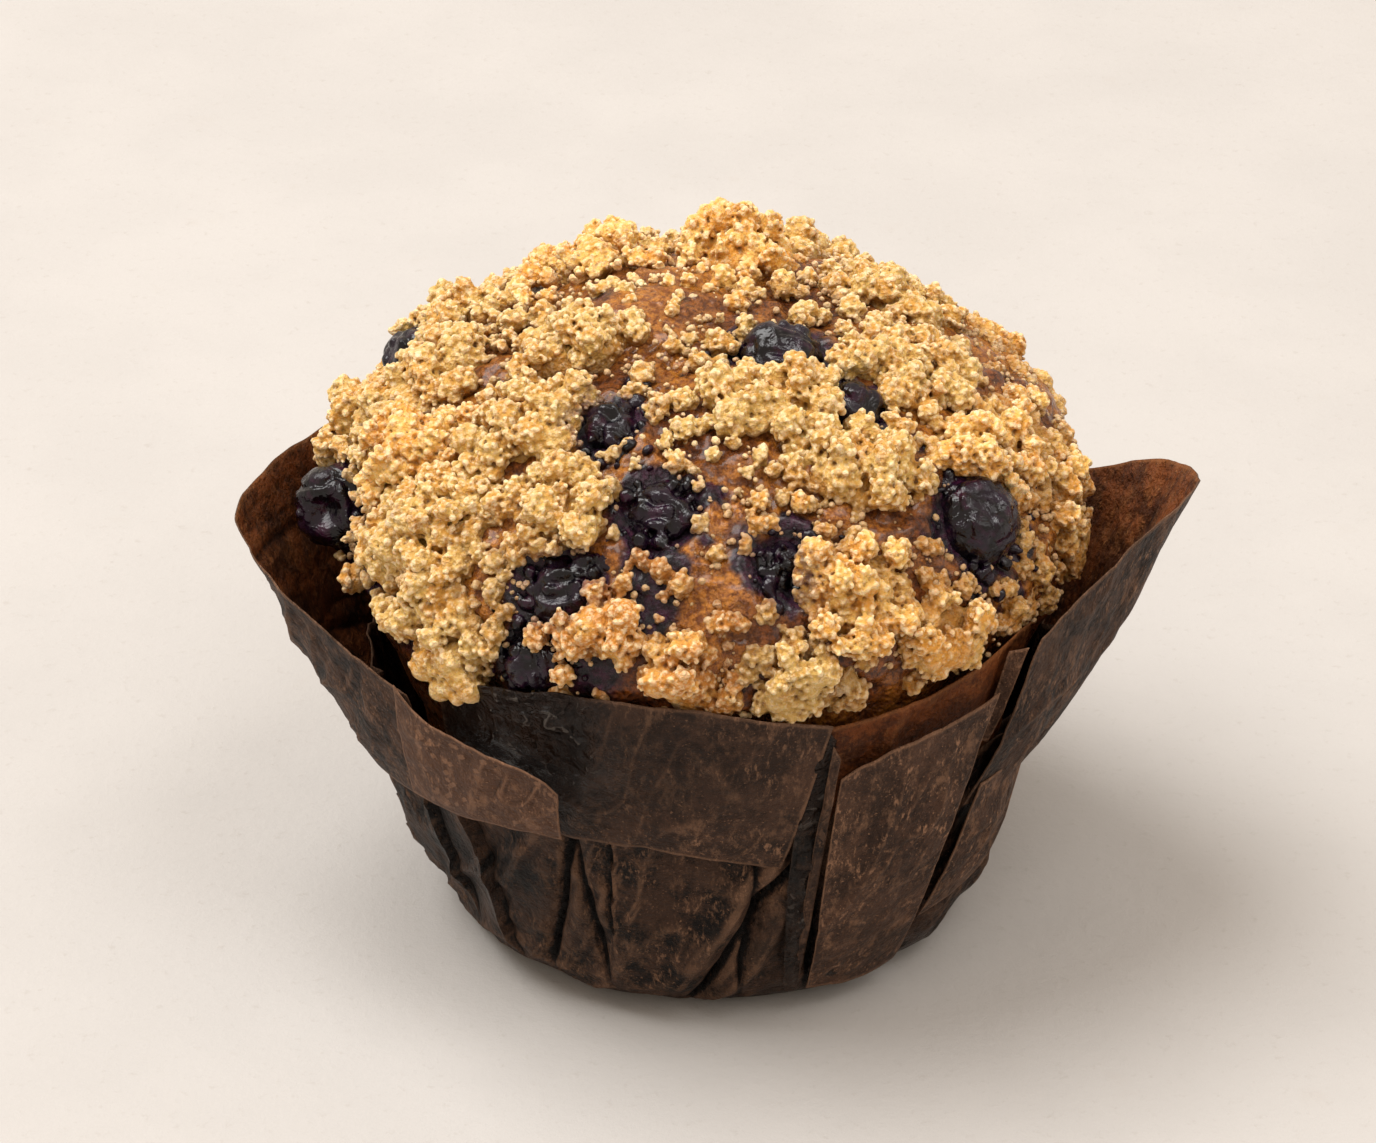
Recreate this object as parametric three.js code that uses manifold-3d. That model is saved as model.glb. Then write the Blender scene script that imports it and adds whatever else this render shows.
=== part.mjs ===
// A blueberry crumb muffin in a tulip paper liner. Millimetres, +Z up.
// The origin is the middle of the liner's flat foot, which stands on the table.
// Azimuth is in degrees round +Z from +X, so -90 is the front. Tilt is in degrees down from the
// crown's top.
import * as THREE from "three";
import { mergeVertices } from "three/addons/utils/BufferGeometryUtils.js";
import Module from "manifold-3d";

const wasm = await Module();
wasm.setup();

// Driving dimensions.
const footRadius = 23; // the flat disc that the liner stands on
const cupRadius = 34.5; // outside of the liner where its cup ends
const cupHeight = 26;
const crownRadius = 38.2; // the cake where it is widest, above the liner's front flap
const crownHeight = 45; // the height of that widest ring
const crownRise = 22.5; // from that ring to the top of the cake
const crownShift = 0.5; // how far the cake rose to the right of its cup
const paper = 0.4; // folded greaseproof paper, two or three plies
const gap = 0.3; // between pieces that touch

// How finely the pieces are faceted.
const cupSegments = 48;
const cakeSegments = 36;
const cornerSteps = 3;
const crownSteps = 8;
const crumbDetail = 2;

const materials = {
  crust: new THREE.MeshStandardMaterial({ color: 0xa8652a, roughness: 0.75, metalness: 0 }),
  crumb: new THREE.MeshStandardMaterial({ color: 0xdcb066, roughness: 0.85, metalness: 0 }),
  berry: new THREE.MeshStandardMaterial({ color: 0x1c1626, roughness: 0.25, metalness: 0 }),
  paper: new THREE.MeshStandardMaterial({ color: 0x33251e, roughness: 0.55, metalness: 0 }),
};

const { lerp, clamp, degToRad, radToDeg, smoothstep } = THREE.MathUtils;

// A point at a radius, an azimuth in degrees and a height.
function around(radius, azimuth, height) {
  const turn = degToRad(azimuth);
  return new THREE.Vector3(radius * Math.cos(turn), radius * Math.sin(turn), height);
}

// The shortest way from one azimuth to another, from -180 to 180 degrees.
const turnBetween = (a, b) => ((((b - a) % 360) + 540) % 360) - 180;

// A bell of height 1 at nought, which has died away at about twice its spread.
const bell = (distance, spread) => Math.exp(-((distance / spread) ** 2));

// Moves every vertex of a geometry by a function of its place.
function reshaped(geometry, move) {
  const position = geometry.getAttribute("position");
  const vertex = new THREE.Vector3();
  for (let i = 0; i < position.count; i++) {
    vertex.fromBufferAttribute(position, i);
    position.setXYZ(i, ...move(vertex));
  }
  return geometry;
}

// A profile of radius and height, turned round +Z.
function turned(profile, segments) {
  return new THREE.LatheGeometry(profile, segments).rotateX(Math.PI / 2);
}

// A geometry as a solid that manifold-3d can join and cut.
function solidOf(geometry) {
  const bare = geometry.index ? geometry.toNonIndexed() : geometry.clone();
  bare.deleteAttribute("normal");
  bare.deleteAttribute("uv");
  const merged = mergeVertices(bare, 1e-4);
  const mesh = new wasm.Mesh({
    numProp: 3,
    vertProperties: new Float32Array(merged.attributes.position.array),
    triVerts: new Uint32Array(merged.index.array),
  });
  return new wasm.Manifold(mesh);
}

// A solid back as a geometry with flat shading.
function geometryOf(solid) {
  const mesh = solid.getMesh();
  const geometry = new THREE.BufferGeometry();
  geometry.setAttribute("position", new THREE.BufferAttribute(mesh.vertProperties, 3));
  geometry.setIndex(new THREE.BufferAttribute(mesh.triVerts, 1));
  const faceted = geometry.toNonIndexed();
  faceted.computeVertexNormals();
  return faceted;
}

// The biggest of the bodies that cutting has left.
function largestOf(solid) {
  return solid.decompose().reduce((best, body) => (body.volume() > best.volume() ? body : best));
}

function piece(name, solid, material) {
  const mesh = new THREE.Mesh(geometryOf(solid), material);
  mesh.name = name;
  return mesh;
}

// ---- The liner's cup ----

// The outside of the cup from its axis to its top, moved in and up by an inset.
function cupOutline(inset) {
  const foot = new THREE.Vector2(footRadius - inset, inset);
  const heel = new THREE.Vector2(27.5 - inset, 0.6 + inset);
  const wallStart = new THREE.Vector2(29 - inset, 6 + inset);
  const corner = new THREE.QuadraticBezierCurve(foot, heel, wallStart).getPoints(cornerSteps);
  const middle = new THREE.Vector2(32 - inset, 15.5);
  const top = new THREE.Vector2(cupRadius - inset, cupHeight);
  return [new THREE.Vector2(0, inset), ...corner, middle, top];
}

// Where the cup's paper is gathered into pleats that stand out from its wall.
const pleats = [-155, -115, -75, -40, 0, 35, 70, 105, 140, 175];
const pleatDepth = 1.1;
const pleatWidth = 4; // degrees

function pleatAt(azimuth, height) {
  const grown = smoothstep(height, 3, cupHeight * 0.6);
  const nearest = Math.min(...pleats.map((pleat) => Math.abs(turnBetween(pleat, azimuth))));
  return pleatDepth * grown * bell(nearest, pleatWidth);
}

function cup() {
  const shell = [...cupOutline(0), ...cupOutline(paper).reverse()];
  return reshaped(turned(shell, cupSegments), ({ x, y, z }) => {
    const radius = Math.hypot(x, y);
    const azimuth = radToDeg(Math.atan2(y, x));
    const stands = radius > footRadius + 1 ? pleatAt(azimuth, z) : 0;
    return radius > 0 ? around(radius + stands, azimuth, z) : [0, 0, z];
  });
}

// ---- The liner's collar ----

// A wrapped panel of paper from one azimuth to another, with its foot on the cup. Foot and rim each
// give a radius and a height at both ends. At the tip's azimuth, peak lifts the rim and point draws
// it outwards.
function paperPanel(shape, grow) {
  const { from, to, foot, rim, tip = (from + to) / 2, peak = 0, point = 0, bulge = 0 } = shape;
  const { across = 8, up = 3 } = shape;
  const skew = Math.log(0.5) / Math.log((tip - from) / (to - from));
  const sheet = new THREE.BoxGeometry(1, 1, 1, across, up, 1);
  const thickness = paper + 2 * grow;
  return reshaped(sheet, ({ x, y, z }) => {
    const along = clamp(x + 0.5, 0, 1);
    const rise = y + 0.5;
    const arch = Math.max(0, Math.sin(Math.PI * along ** skew)) ** 1.5;
    const footPlace = [0, 1].map((i) => lerp(foot[0][i], foot[1][i], along));
    const rimPlace = [0, 1].map((i) => lerp(rim[0][i], rim[1][i], along));
    const radius = lerp(footPlace[0], rimPlace[0] + point * arch, rise);
    const bowed = radius + bulge * arch * Math.sin(Math.PI * rise);
    const height = lerp(footPlace[1], rimPlace[1] + peak * arch, rise) + 2 * grow * y;
    return around(bowed + z * thickness, lerp(from, to, along) + grow * 2 * x, height);
  });
}

// Each panel's foot and rim are [radius, height] at its first and last azimuth.
const leftPetal = {
  from: -222, to: -141, foot: [[33, 20], [35.2, 24]], rim: [[41.5, 45], [40.9, 41.5]],
  tip: -168, peak: 6, point: 6.6, bulge: 2.8, across: 9,
};
// The left petal's folded tail, lapped over the front flap.
const petalTail = {
  from: -144, to: -110, foot: [[35.2, 24], [36, 25]], rim: [[40.9, 41.5], [38.4, 32]], across: 5,
};
const frontFlap = {
  from: -130, to: -71, foot: [[34.1, 24], [33.9, 23]], rim: [[39.6, 43], [39.6, 42.5]], peak: 3.4,
};
// The panel right of the flap, whose foot runs on down into the cup.
const frontRightPanel = {
  from: -70, to: -39, foot: [[33, 20], [33, 20]], rim: [[39.8, 35], [41.6, 42.5]], across: 5,
};
const rightPetal = {
  from: -41, to: 35, foot: [[33.2, 21], [33.2, 21]], rim: [[41.5, 43.5], [41, 36]],
  tip: -5, peak: 11, point: 8.8, bulge: 0.4, across: 9,
};
const backPetal = {
  from: 33, to: 140, foot: [[33.4, 22], [33.4, 22]], rim: [[40.6, 36], [41.4, 44.5]], peak: 3, across: 9,
};
const collar = [leftPetal, petalTail, frontFlap, frontRightPanel, rightPetal, backPetal];

// The collar's panels, or with grow the room that pieces beside them keep clear of.
function collarSolids(grow = 0) {
  return collar.map((panel) => solidOf(paperPanel(panel, grow)));
}

function liner() {
  return collarSolids().reduce((joined, panel) => joined.add(panel), solidOf(cup()));
}

// ---- The cake ----

// Low swellings of the baked crown: azimuth, tilt, height in millimetres and spread in degrees.
const swellings = [
  [-95, 33, 1.0, 16],
  [143, 14, 1.3, 14],
  [-103, 82, 1.2, 9],
  [-20, 35, 0.9, 20],
  [-150, 50, 0.8, 20],
  [60, 45, 1.0, 22],
  [110, 65, 0.9, 20],
  [15, 75, 0.8, 18],
];

// Degrees between two directions given by azimuth and tilt.
function angleBetween(azimuthA, tiltA, azimuthB, tiltB) {
  const cosine = around(Math.sin(degToRad(tiltA)), azimuthA, Math.cos(degToRad(tiltA)))
    .dot(around(Math.sin(degToRad(tiltB)), azimuthB, Math.cos(degToRad(tiltB))));
  return radToDeg(Math.acos(clamp(cosine, -1, 1)));
}

function swellingAt(azimuth, tilt) {
  return swellings.reduce(
    (sum, [a, t, height, spread]) => sum + height * bell(angleBetween(azimuth, tilt, a, t), spread),
    0,
  );
}

// The point of the crown at an azimuth and a tilt, lifted off it along its normal.
function onCrown(azimuth, tilt, lift = 0) {
  const turn = degToRad(tilt);
  const outward = crownNormal(azimuth, tilt);
  const place = around(crownRadius * Math.sin(turn), azimuth, crownHeight + crownRise * Math.cos(turn));
  place.x += crownShift;
  return place.addScaledVector(outward, lift + swellingAt(azimuth, tilt));
}

function crownNormal(azimuth, tilt) {
  const turn = degToRad(tilt);
  return around(Math.sin(turn) / crownRadius, azimuth, Math.cos(turn) / crownRise).normalize();
}

// The cake, or with grow the room that pieces resting on it keep clear of.
function cake(grow = 0) {
  const inCup = cupOutline(paper + gap - grow).slice(0, -1);
  const neck = [
    new THREE.Vector2(cupRadius - paper - gap + grow, cupHeight),
    new THREE.Vector2(36 + grow, 34),
    new THREE.Vector2(37.3 + grow, 39.5),
  ];
  const crown = [];
  for (let i = 0; i <= crownSteps; i++) {
    const turn = (Math.PI / 2) * (1 - i / crownSteps);
    const radius = (crownRadius + grow) * Math.sin(turn);
    const height = crownHeight + (crownRise + grow) * Math.cos(turn);
    crown.push(new THREE.Vector2(i < crownSteps ? radius : 0, height));
  }
  return reshaped(turned([...inCup, ...neck, ...crown], cakeSegments), ({ x, y, z }) => {
    const vertex = new THREE.Vector3(x + crownShift * smoothstep(z, cupHeight, crownHeight), y, z);
    const above = (z - crownHeight) / crownRise;
    if (above < -0.01) return vertex;
    const azimuth = radToDeg(Math.atan2(y, x));
    const tilt = radToDeg(Math.acos(Math.min(1, above)));
    return vertex.addScaledVector(crownNormal(azimuth, tilt), swellingAt(azimuth, tilt));
  });
}

// ---- Blueberries and streusel ----

// Turns a shape whose +Z is its outside so that it stands on the crown.
function seatedOnCrown(geometry, azimuth, tilt, lift, twist) {
  const outward = crownNormal(azimuth, tilt);
  const seat = new THREE.Quaternion().setFromUnitVectors(new THREE.Vector3(0, 0, 1), outward);
  const place = onCrown(azimuth, tilt, lift);
  return geometry
    .rotateZ(degToRad(twist))
    .applyMatrix4(new THREE.Matrix4().compose(place, seat, new THREE.Vector3(1, 1, 1)));
}

// Azimuth, tilt, radius and how far the berry's middle stands out of the crust.
const blueberries = [
  [-172, 82, 4.7, 1.6],
  [161, 60, 3.8, 1.6],
  [-47, 15, 4.3, -0.6],
  [-45, 31, 3.0, 0],
  [-38, 61, 4.9, -0.8],
  [-101, 47, 3.5, -0.8],
  [-115, 66, 4.0, -1.2],
  [-118, 85, 3.0, -0.6],
  [-121, 32, 3.0, 0],
  [-78, 58, 3.2, -1.2],
  [95, 50, 4.4, -0.6],
  [62, 74, 4.4, -0.6],
  [122, 74, 4.3, -0.4],
];

function blueberry([azimuth, tilt, radius, lift], grow = 0) {
  const berry = new THREE.SphereGeometry(radius + grow, 10, 7).scale(1, 1, 0.9);
  return seatedOnCrown(berry, azimuth, tilt, lift, 0);
}

// Azimuth, tilt, half length, half width, height above the crust and twist in degrees.
const streusel = [
  [-66, 25, 7.0, 5.6, 3.6, 10],
  [-138, 39, 8.0, 5.6, 3.4, 30],
  [-157, 56, 6.6, 5.4, 3.6, 0],
  [-119, 50, 5.6, 5.2, 3.2, 60],
  [-142, 66, 7.2, 6.6, 3.4, 0],
  [-134, 85, 8.0, 5.6, 3.2, 90],
  [-106, 73, 4.8, 3.2, 3.0, -10],
  [-93, 82, 3.6, 4.4, 3.0, 0],
  [-53, 43, 8.0, 5.4, 3.4, 15],
  [-30, 52, 6.4, 5.2, 3.4, 0],
  [-18, 32, 8.0, 6.4, 3.0, 30],
  [-9, 60, 7.6, 6.0, 2.8, 60],
  [-11, 82, 6.4, 6.6, 2.8, 0],
  [-66, 66, 7.4, 5.8, 3.4, -20],
  [-52, 83, 6.6, 4.6, 3.2, 10],
  [-77, 84, 5.8, 3.8, 3.0, 90],
  [80, 24, 6.0, 5.4, 5.4, 0],
  [26, 36, 6.6, 5.8, 3.0, 0],
  [124, 32, 6.0, 5.2, 3.4, 40],
  [-176, 46, 7.0, 5.6, 3.0, 0],
  [-160, 22, 7.2, 4.6, 3.2, 20],
  [178, 70, 6.8, 5.8, 3.0, 0],
  [70, 46, 6.6, 5.6, 2.6, 30],
  [22, 66, 6.2, 5.8, 2.4, 0],
  [80, 70, 7.6, 6.2, 3.0, 0],
  [103, 56, 7.4, 5.8, 2.6, 20],
  [150, 52, 6.6, 5.6, 2.6, 0],
  [42, 86, 6.6, 5.2, 3.0, 0],
  [98, 87, 7.0, 5.0, 3.0, 0],
  [148, 85, 7.4, 5.0, 3.0, 0],
];

// A heap of crumb: a flattened ball with knobs, half of it above the crust.
function crumbHeap([azimuth, tilt, long, wide, high, twist], index, grow = 0) {
  const knobs = 0.07;
  const heap = new THREE.IcosahedronGeometry(1, crumbDetail);
  reshaped(heap, (v) => {
    const ripple = Math.sin(5 * v.x + index) + Math.sin(6 * v.y + 2 * index) + Math.sin(4 * v.z - index);
    const size = 1 + knobs * ripple;
    return [v.x * (long * size + grow), v.y * (wide * size + grow), v.z * (high * size + grow)];
  });
  return seatedOnCrown(heap, azimuth, tilt, 0, twist);
}

// ---- The muffin ----

const muffin = new THREE.Group();
const number = (index) => String(index + 1).padStart(2, "0");

const berrySolids = blueberries.map((berry) => solidOf(blueberry(berry)));
const berryRooms = blueberries.map((berry) => solidOf(blueberry(berry, gap)));
const cakeRoom = solidOf(cake(gap));
const collarRooms = collarSolids(gap);

const socketedCake = berryRooms.reduce((left, room) => left.subtract(room), solidOf(cake()));

muffin.add(piece("paper_liner", liner(), materials.paper));
muffin.add(piece("muffin_cake", socketedCake, materials.crust));

berrySolids.forEach((berry, index) => {
  muffin.add(piece(`blueberry_${number(index)}`, berry, materials.berry));
});

const heapRooms = streusel.map((heap, index) => solidOf(crumbHeap(heap, index, gap)));
streusel.forEach((heap, index) => {
  const taken = [cakeRoom, ...collarRooms, ...berryRooms, ...heapRooms.slice(0, index)];
  const left = taken.reduce((rest, room) => rest.subtract(room), solidOf(crumbHeap(heap, index)));
  muffin.add(piece(`streusel_${number(index)}`, largestOf(left), materials.crumb));
});

export default muffin;
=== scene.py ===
# A blueberry crumb muffin in a dark tulip paper liner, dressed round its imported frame.
# Shapes are worked out in millimetres and go into the meshes in metres.
# Azimuth is in degrees round +Z from +X, so -90 is the front. Tilt is in degrees down from the crown's top.

import math

import bpy
import numpy as np
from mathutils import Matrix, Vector


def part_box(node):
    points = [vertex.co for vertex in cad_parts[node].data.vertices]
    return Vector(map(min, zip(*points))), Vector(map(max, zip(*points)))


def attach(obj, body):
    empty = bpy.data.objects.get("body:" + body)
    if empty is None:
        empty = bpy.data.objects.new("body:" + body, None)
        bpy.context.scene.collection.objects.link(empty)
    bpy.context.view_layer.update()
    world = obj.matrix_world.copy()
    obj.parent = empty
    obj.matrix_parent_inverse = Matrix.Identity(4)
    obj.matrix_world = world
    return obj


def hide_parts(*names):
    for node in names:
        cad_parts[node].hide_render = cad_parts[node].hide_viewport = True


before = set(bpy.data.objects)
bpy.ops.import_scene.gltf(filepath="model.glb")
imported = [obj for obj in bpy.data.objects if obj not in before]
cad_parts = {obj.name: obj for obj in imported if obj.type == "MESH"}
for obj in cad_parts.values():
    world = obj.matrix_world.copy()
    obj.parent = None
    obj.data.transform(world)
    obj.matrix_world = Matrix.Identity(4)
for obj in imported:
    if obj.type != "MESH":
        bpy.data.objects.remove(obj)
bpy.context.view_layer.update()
millimetre = 0.001


# numbers and noise

def bell(distance, spread):
    # 1 at nought, fading as exp(-(distance / spread) squared)
    return np.exp(-((distance / spread) ** 2))


def easeBetween(value, low, high):
    # 0 below low, 1 above high, and 3t^2 - 2t^3 between them
    t = np.clip((value - low) / (high - low), 0, 1)
    return t * t * (3 - 2 * t)


def latticeNoise(points, cell, seed):
    # random numbers from -1 to 1 at the corners of a cubic lattice, picked from a table by large prime
    # steps and blended with 3t^2 - 2t^3 along each axis
    tableSize, stepX, stepY, stepZ = 4096, 73856093, 19349663, 83492791
    table = np.random.default_rng(seed).uniform(-1, 1, tableSize)
    scaled = np.asarray(points, float) / cell
    corner = np.floor(scaled).astype(np.int64)
    t = scaled - corner
    t = t * t * (3 - 2 * t)
    total = np.zeros(scaled.shape[:-1])
    for dx, dy, dz in np.ndindex(2, 2, 2):
        key = (corner[..., 0] + dx) * stepX ^ (corner[..., 1] + dy) * stepY ^ (corner[..., 2] + dz) * stepZ
        weight = np.abs(1 - dx - t[..., 0]) * np.abs(1 - dy - t[..., 1]) * np.abs(1 - dz - t[..., 2])
        total += table[key % tableSize] * weight
    return total


def roughNoise(points, cell, octaves, seed):
    # lattice noise summed with the cell and the height halved at each octave
    return sum(latticeNoise(points, cell / 2**k, seed + k) / 2**k for k in range(octaves))


def directionAt(azimuth, tilt):
    # the unit vector at an azimuth and a tilt down from straight up, both in degrees
    turn, lean = np.broadcast_arrays(np.radians(azimuth), np.radians(tilt))
    return np.stack([np.sin(lean) * np.cos(turn), np.sin(lean) * np.sin(turn), np.cos(lean)], -1)


def degreesFrom(here, azimuth, tilt):
    # the angles between unit vectors and the direction at an azimuth and a tilt
    return np.degrees(np.arccos(np.clip(here @ directionAt(azimuth, tilt), -1, 1)))


def polar(azimuth, radius, height):
    # points from their azimuth in degrees, their distance from the axis and their height
    turn = np.radians(azimuth)
    return np.stack(np.broadcast_arrays(radius * np.cos(turn), radius * np.sin(turn), height), -1)


def unitLength(vectors):
    return vectors / np.linalg.norm(vectors, axis=-1, keepdims=True)


# meshes

def gridQuads(rows, columns, wraps=False):
    # a quad between neighbouring rows and columns; where it wraps, the last column meets the first
    row = np.arange(rows - 1)[:, None]
    column = np.arange(columns if wraps else columns - 1)[None, :]
    beside = (column + 1) % columns
    corners = [row * columns + column, row * columns + beside,
               (row + 1) * columns + beside, (row + 1) * columns + column]
    return np.stack(corners, -1).reshape(-1, 4)


def closedGrid(rows, columns):
    # faces of a round grid whose rows climb from a bottom pole to a top one, its last two points
    column = np.arange(columns)
    beside = (column + 1) % columns
    low, high = rows * columns, rows * columns + 1
    top = (rows - 1) * columns
    bottomCap = np.stack([np.full(columns, low), beside, column], -1)
    topCap = np.stack([np.full(columns, high), top + column, top + beside], -1)
    return gridQuads(rows, columns, True), np.concatenate([bottomCap, topCap])


def meshOf(name, points, faceSets):
    # one mesh from points in millimetres and arrays of faces, each array with its own number of corners
    mesh = bpy.data.meshes.new(name)
    corners = np.concatenate([faces.ravel() for faces in faceSets]).astype(np.int32)
    sizes = np.concatenate([np.full(len(faces), faces.shape[1]) for faces in faceSets])
    mesh.vertices.add(len(points))
    mesh.vertices.foreach_set("co", (points * millimetre).astype(np.float32).ravel())
    mesh.loops.add(len(corners))
    mesh.loops.foreach_set("vertex_index", corners)
    mesh.polygons.add(len(sizes))
    mesh.polygons.foreach_set("loop_start", np.concatenate([[0], np.cumsum(sizes)[:-1]]).astype(np.int32))
    mesh.polygons.foreach_set("use_smooth", np.ones(len(sizes), bool))
    mesh.update(calc_edges=True)
    mesh.validate()
    return mesh


def addPiece(name, mesh, materials, slotName, *nodes):
    piece = bpy.data.objects.new(name, mesh)
    bpy.context.scene.collection.objects.link(piece)
    for material in materials:
        mesh.materials.append(material)
    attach(piece, "root")
    if nodes:
        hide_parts(*nodes)
    return piece


def setAttribute(mesh, name, values):
    mesh.attributes.new(name, "FLOAT", "POINT").data.foreach_set("value", values.astype(np.float32))


def setGridMap(mesh, rows, columns, wraps):
    # the grid's own square map: u runs round the columns and v climbs the rows, inside a thin border
    inner, border = 0.96, 0.02
    row = np.arange(rows - 1)[:, None, None]
    column = np.arange(columns if wraps else columns - 1)[None, :, None]
    across = (column + np.array([0, 1, 1, 0])) / (columns if wraps else columns - 1)
    along = (row + np.array([0, 0, 1, 1])) / (rows - 1)
    across, along = np.broadcast_arrays(across, along)
    spots = np.stack([across, along], -1).reshape(-1, 2) * inner + border
    room = np.zeros((len(mesh.loops), 2))
    room[:len(spots)] = spots
    if len(mesh.loops) > len(spots):  # the caps at the poles keep to thin strips at the edges
        rest = len(mesh.loops) - len(spots)
        fan = np.arange(rest // 3) % columns
        low = np.arange(rest // 3) < columns
        u = np.stack([fan + 0.5, fan + low, fan + 1 - low], -1) / columns * inner + border
        strip = np.array([[border / 10, border, border]])
        v = np.where(low[:, None], strip, 1 - strip)
        room[len(spots):] = np.stack([u, v], -1).reshape(-1, 2)
    mesh.uv_layers.new(name="OFBake").data.foreach_set("uv", room.astype(np.float32).ravel())


# materials

def tinted(colour, share):
    return [channel * share for channel in colour]


class Finish:
    # a small helper for building a node material from the surface back to its patterns
    def __init__(self, name):
        self.material = bpy.data.materials.new(name)
        self.material.use_nodes = True
        self.tree = self.material.node_tree
        self.shader = self.tree.nodes["Principled BSDF"]
        self.place = self.tree.nodes.new("ShaderNodeTexCoord").outputs["Object"]

    def node(self, kind, inputs=None, **settings):
        made = self.tree.nodes.new(kind)
        for key, value in settings.items():
            setattr(made, key, value)
        for key, value in (inputs or {}).items():
            self.plug(value, made.inputs[key])
        return made

    def plug(self, value, socket):
        if isinstance(value, bpy.types.NodeSocket):
            self.tree.links.new(value, socket)
        elif socket.type == "RGBA" and len(value) == 3:
            socket.default_value = (*value, 1)
        else:
            socket.default_value = value

    def surface(self, **values):
        for key, value in values.items():
            self.plug(value, self.shader.inputs[key])

    def stretched(self, scale, turn=(0, 0, 0)):
        mapping = self.node("ShaderNodeMapping", {"Vector": self.place, "Scale": scale, "Rotation": turn})
        return mapping.outputs["Vector"]

    def noise(self, size, detail=3.0, roughness=0.55, place=None, distortion=0.0):
        # size is the pattern's grain in millimetres
        return self.node("ShaderNodeTexNoise", {
            "Vector": place or self.place, "Scale": 1 / (size * millimetre), "Detail": detail,
            "Roughness": roughness, "Distortion": distortion}).outputs["Fac"]

    def cells(self, size):
        return self.node("ShaderNodeTexVoronoi", {
            "Vector": self.place, "Scale": 1 / (size * millimetre)}).outputs["Distance"]

    def attribute(self, name):
        return self.node("ShaderNodeAttribute", attribute_name=name).outputs["Fac"]

    def pointiness(self):
        # under 0.5 in hollows and over 0.5 on tips
        return self.node("ShaderNodeNewGeometry").outputs["Pointiness"]

    def ramp(self, value, low, high, start=0.0, end=1.0):
        made = self.node("ShaderNodeMapRange", {0: value, 1: low, 2: high, 3: start, 4: end},
                         interpolation_type="SMOOTHSTEP")
        return made.outputs[0]

    def math(self, operation, first, second=0.0):
        return self.node("ShaderNodeMath", {0: first, 1: second}, operation=operation,
                         use_clamp=operation == "ADD").outputs[0]

    def times(self, first, second):
        return self.math("MULTIPLY", first, second)

    def blend(self, share, first, second):
        made = self.node("ShaderNodeMix", data_type="RGBA")
        self.plug(share, made.inputs[0])
        self.plug(first, made.inputs[6])
        self.plug(second, made.inputs[7])
        return made.outputs[2]

    def nearness(self, spots, reach):
        # 1 at any of the spots, in millimetres, falling to 0 at its reach, and the nearest spot wins
        total = None
        for spot in spots:
            away = self.node("ShaderNodeVectorMath", {0: self.place, 1: tinted(spot, millimetre)},
                             operation="DISTANCE").outputs["Value"]
            near = self.ramp(away, 0.25 * reach * millimetre, reach * millimetre, 1, 0)
            total = near if total is None else self.math("MAXIMUM", total, near)
        return total

    def heightOverCrown(self):
        # millimetres over the dome: the length once shrunk by the dome's axes, less 1, times a mean axis
        meanAxis = 30.0
        place = self.place
        for operation, by in [("SUBTRACT", crownMiddle), ("DIVIDE", crownSize)]:
            place = self.node("ShaderNodeVectorMath", {0: place, 1: tinted(by, millimetre)},
                              operation=operation).outputs[0]
        length = self.node("ShaderNodeVectorMath", {0: place}, operation="LENGTH").outputs["Value"]
        return self.times(self.math("SUBTRACT", length, 1.0), meanAxis)

    def bumped(self, *layers):
        # each layer is a height from 0 to 1, its depth in millimetres and its strength
        normal = None
        for height, depth, strength in layers:
            made = self.node("ShaderNodeBump", {"Height": height, "Distance": depth * millimetre,
                                                "Strength": strength})
            if normal is not None:
                self.plug(normal, made.inputs["Normal"])
            normal = made.outputs["Normal"]
        self.plug(normal, self.shader.inputs["Normal"])


# the crown that everything sits on

crown = {"radius": 38.2, "height": 45.0, "rise": 22.5, "shift": 0.5, "heartHeight": 34.0}
crownMiddle = np.array([crown["shift"], 0, crown["height"]])
crownSize = np.array([crown["radius"], crown["radius"], crown["rise"]])
# azimuth, tilt, height and spread in degrees of each low swelling of the baked crown
swellings = [(-95, 33, 1.0, 16), (143, 14, 1.3, 14), (-103, 82, 1.2, 9), (-20, 35, 0.9, 20),
             (-150, 50, 0.8, 20), (60, 45, 1.0, 22), (110, 65, 0.9, 20), (15, 75, 0.8, 18)]


def swellingAt(azimuth, tilt):
    # the sum of bells in the angle between here and each swelling's middle
    here = directionAt(azimuth, tilt)
    total = np.zeros(here.shape[:-1])
    for middle, lean, height, spread in swellings:
        total += height * bell(degreesFrom(here, middle, lean), spread)
    return total


def crownPlace(azimuth, tilt, lift=0.0):
    # a point of the ellipsoid dome, lifted off it along its normal; gives the point and the normal
    unit = directionAt(azimuth, tilt)
    normal = unitLength(unit / crownSize)
    place = unit * crownSize + crownMiddle
    return place + normal * np.asarray(lift + swellingAt(azimuth, tilt))[..., None], normal


def outwardAt(places, height=crown["heartHeight"]):
    # the direction from the heart of the cake, on its axis at this height, to each place
    return unitLength(places - np.array([crown["shift"], 0, height]))


berryNodes = sorted(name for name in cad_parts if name.startswith("blueberry"))
heapNodes = sorted(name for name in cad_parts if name.startswith("streusel"))
boxes = {name: [np.array(corner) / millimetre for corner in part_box(name)] for name in berryNodes}
berryMiddles = np.array([(low + high) / 2 for low, high in boxes.values()])
berryRadii = np.array([(high - low).max() / 2 for low, high in boxes.values()])


# camera, light and floor

studio = {
    "aim": (-2.1, 0.0, 37.3), "distance": 450.0, "elevation": 31.0, "lens": 112.1,
    "skyStrength": 0.80, "skyColour": (1.0, 0.86, 0.72),
    "floorColour": (0.472, 0.453, 0.437), "floorReach": 3000.0, "floorHeight": -0.05,
}
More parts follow.
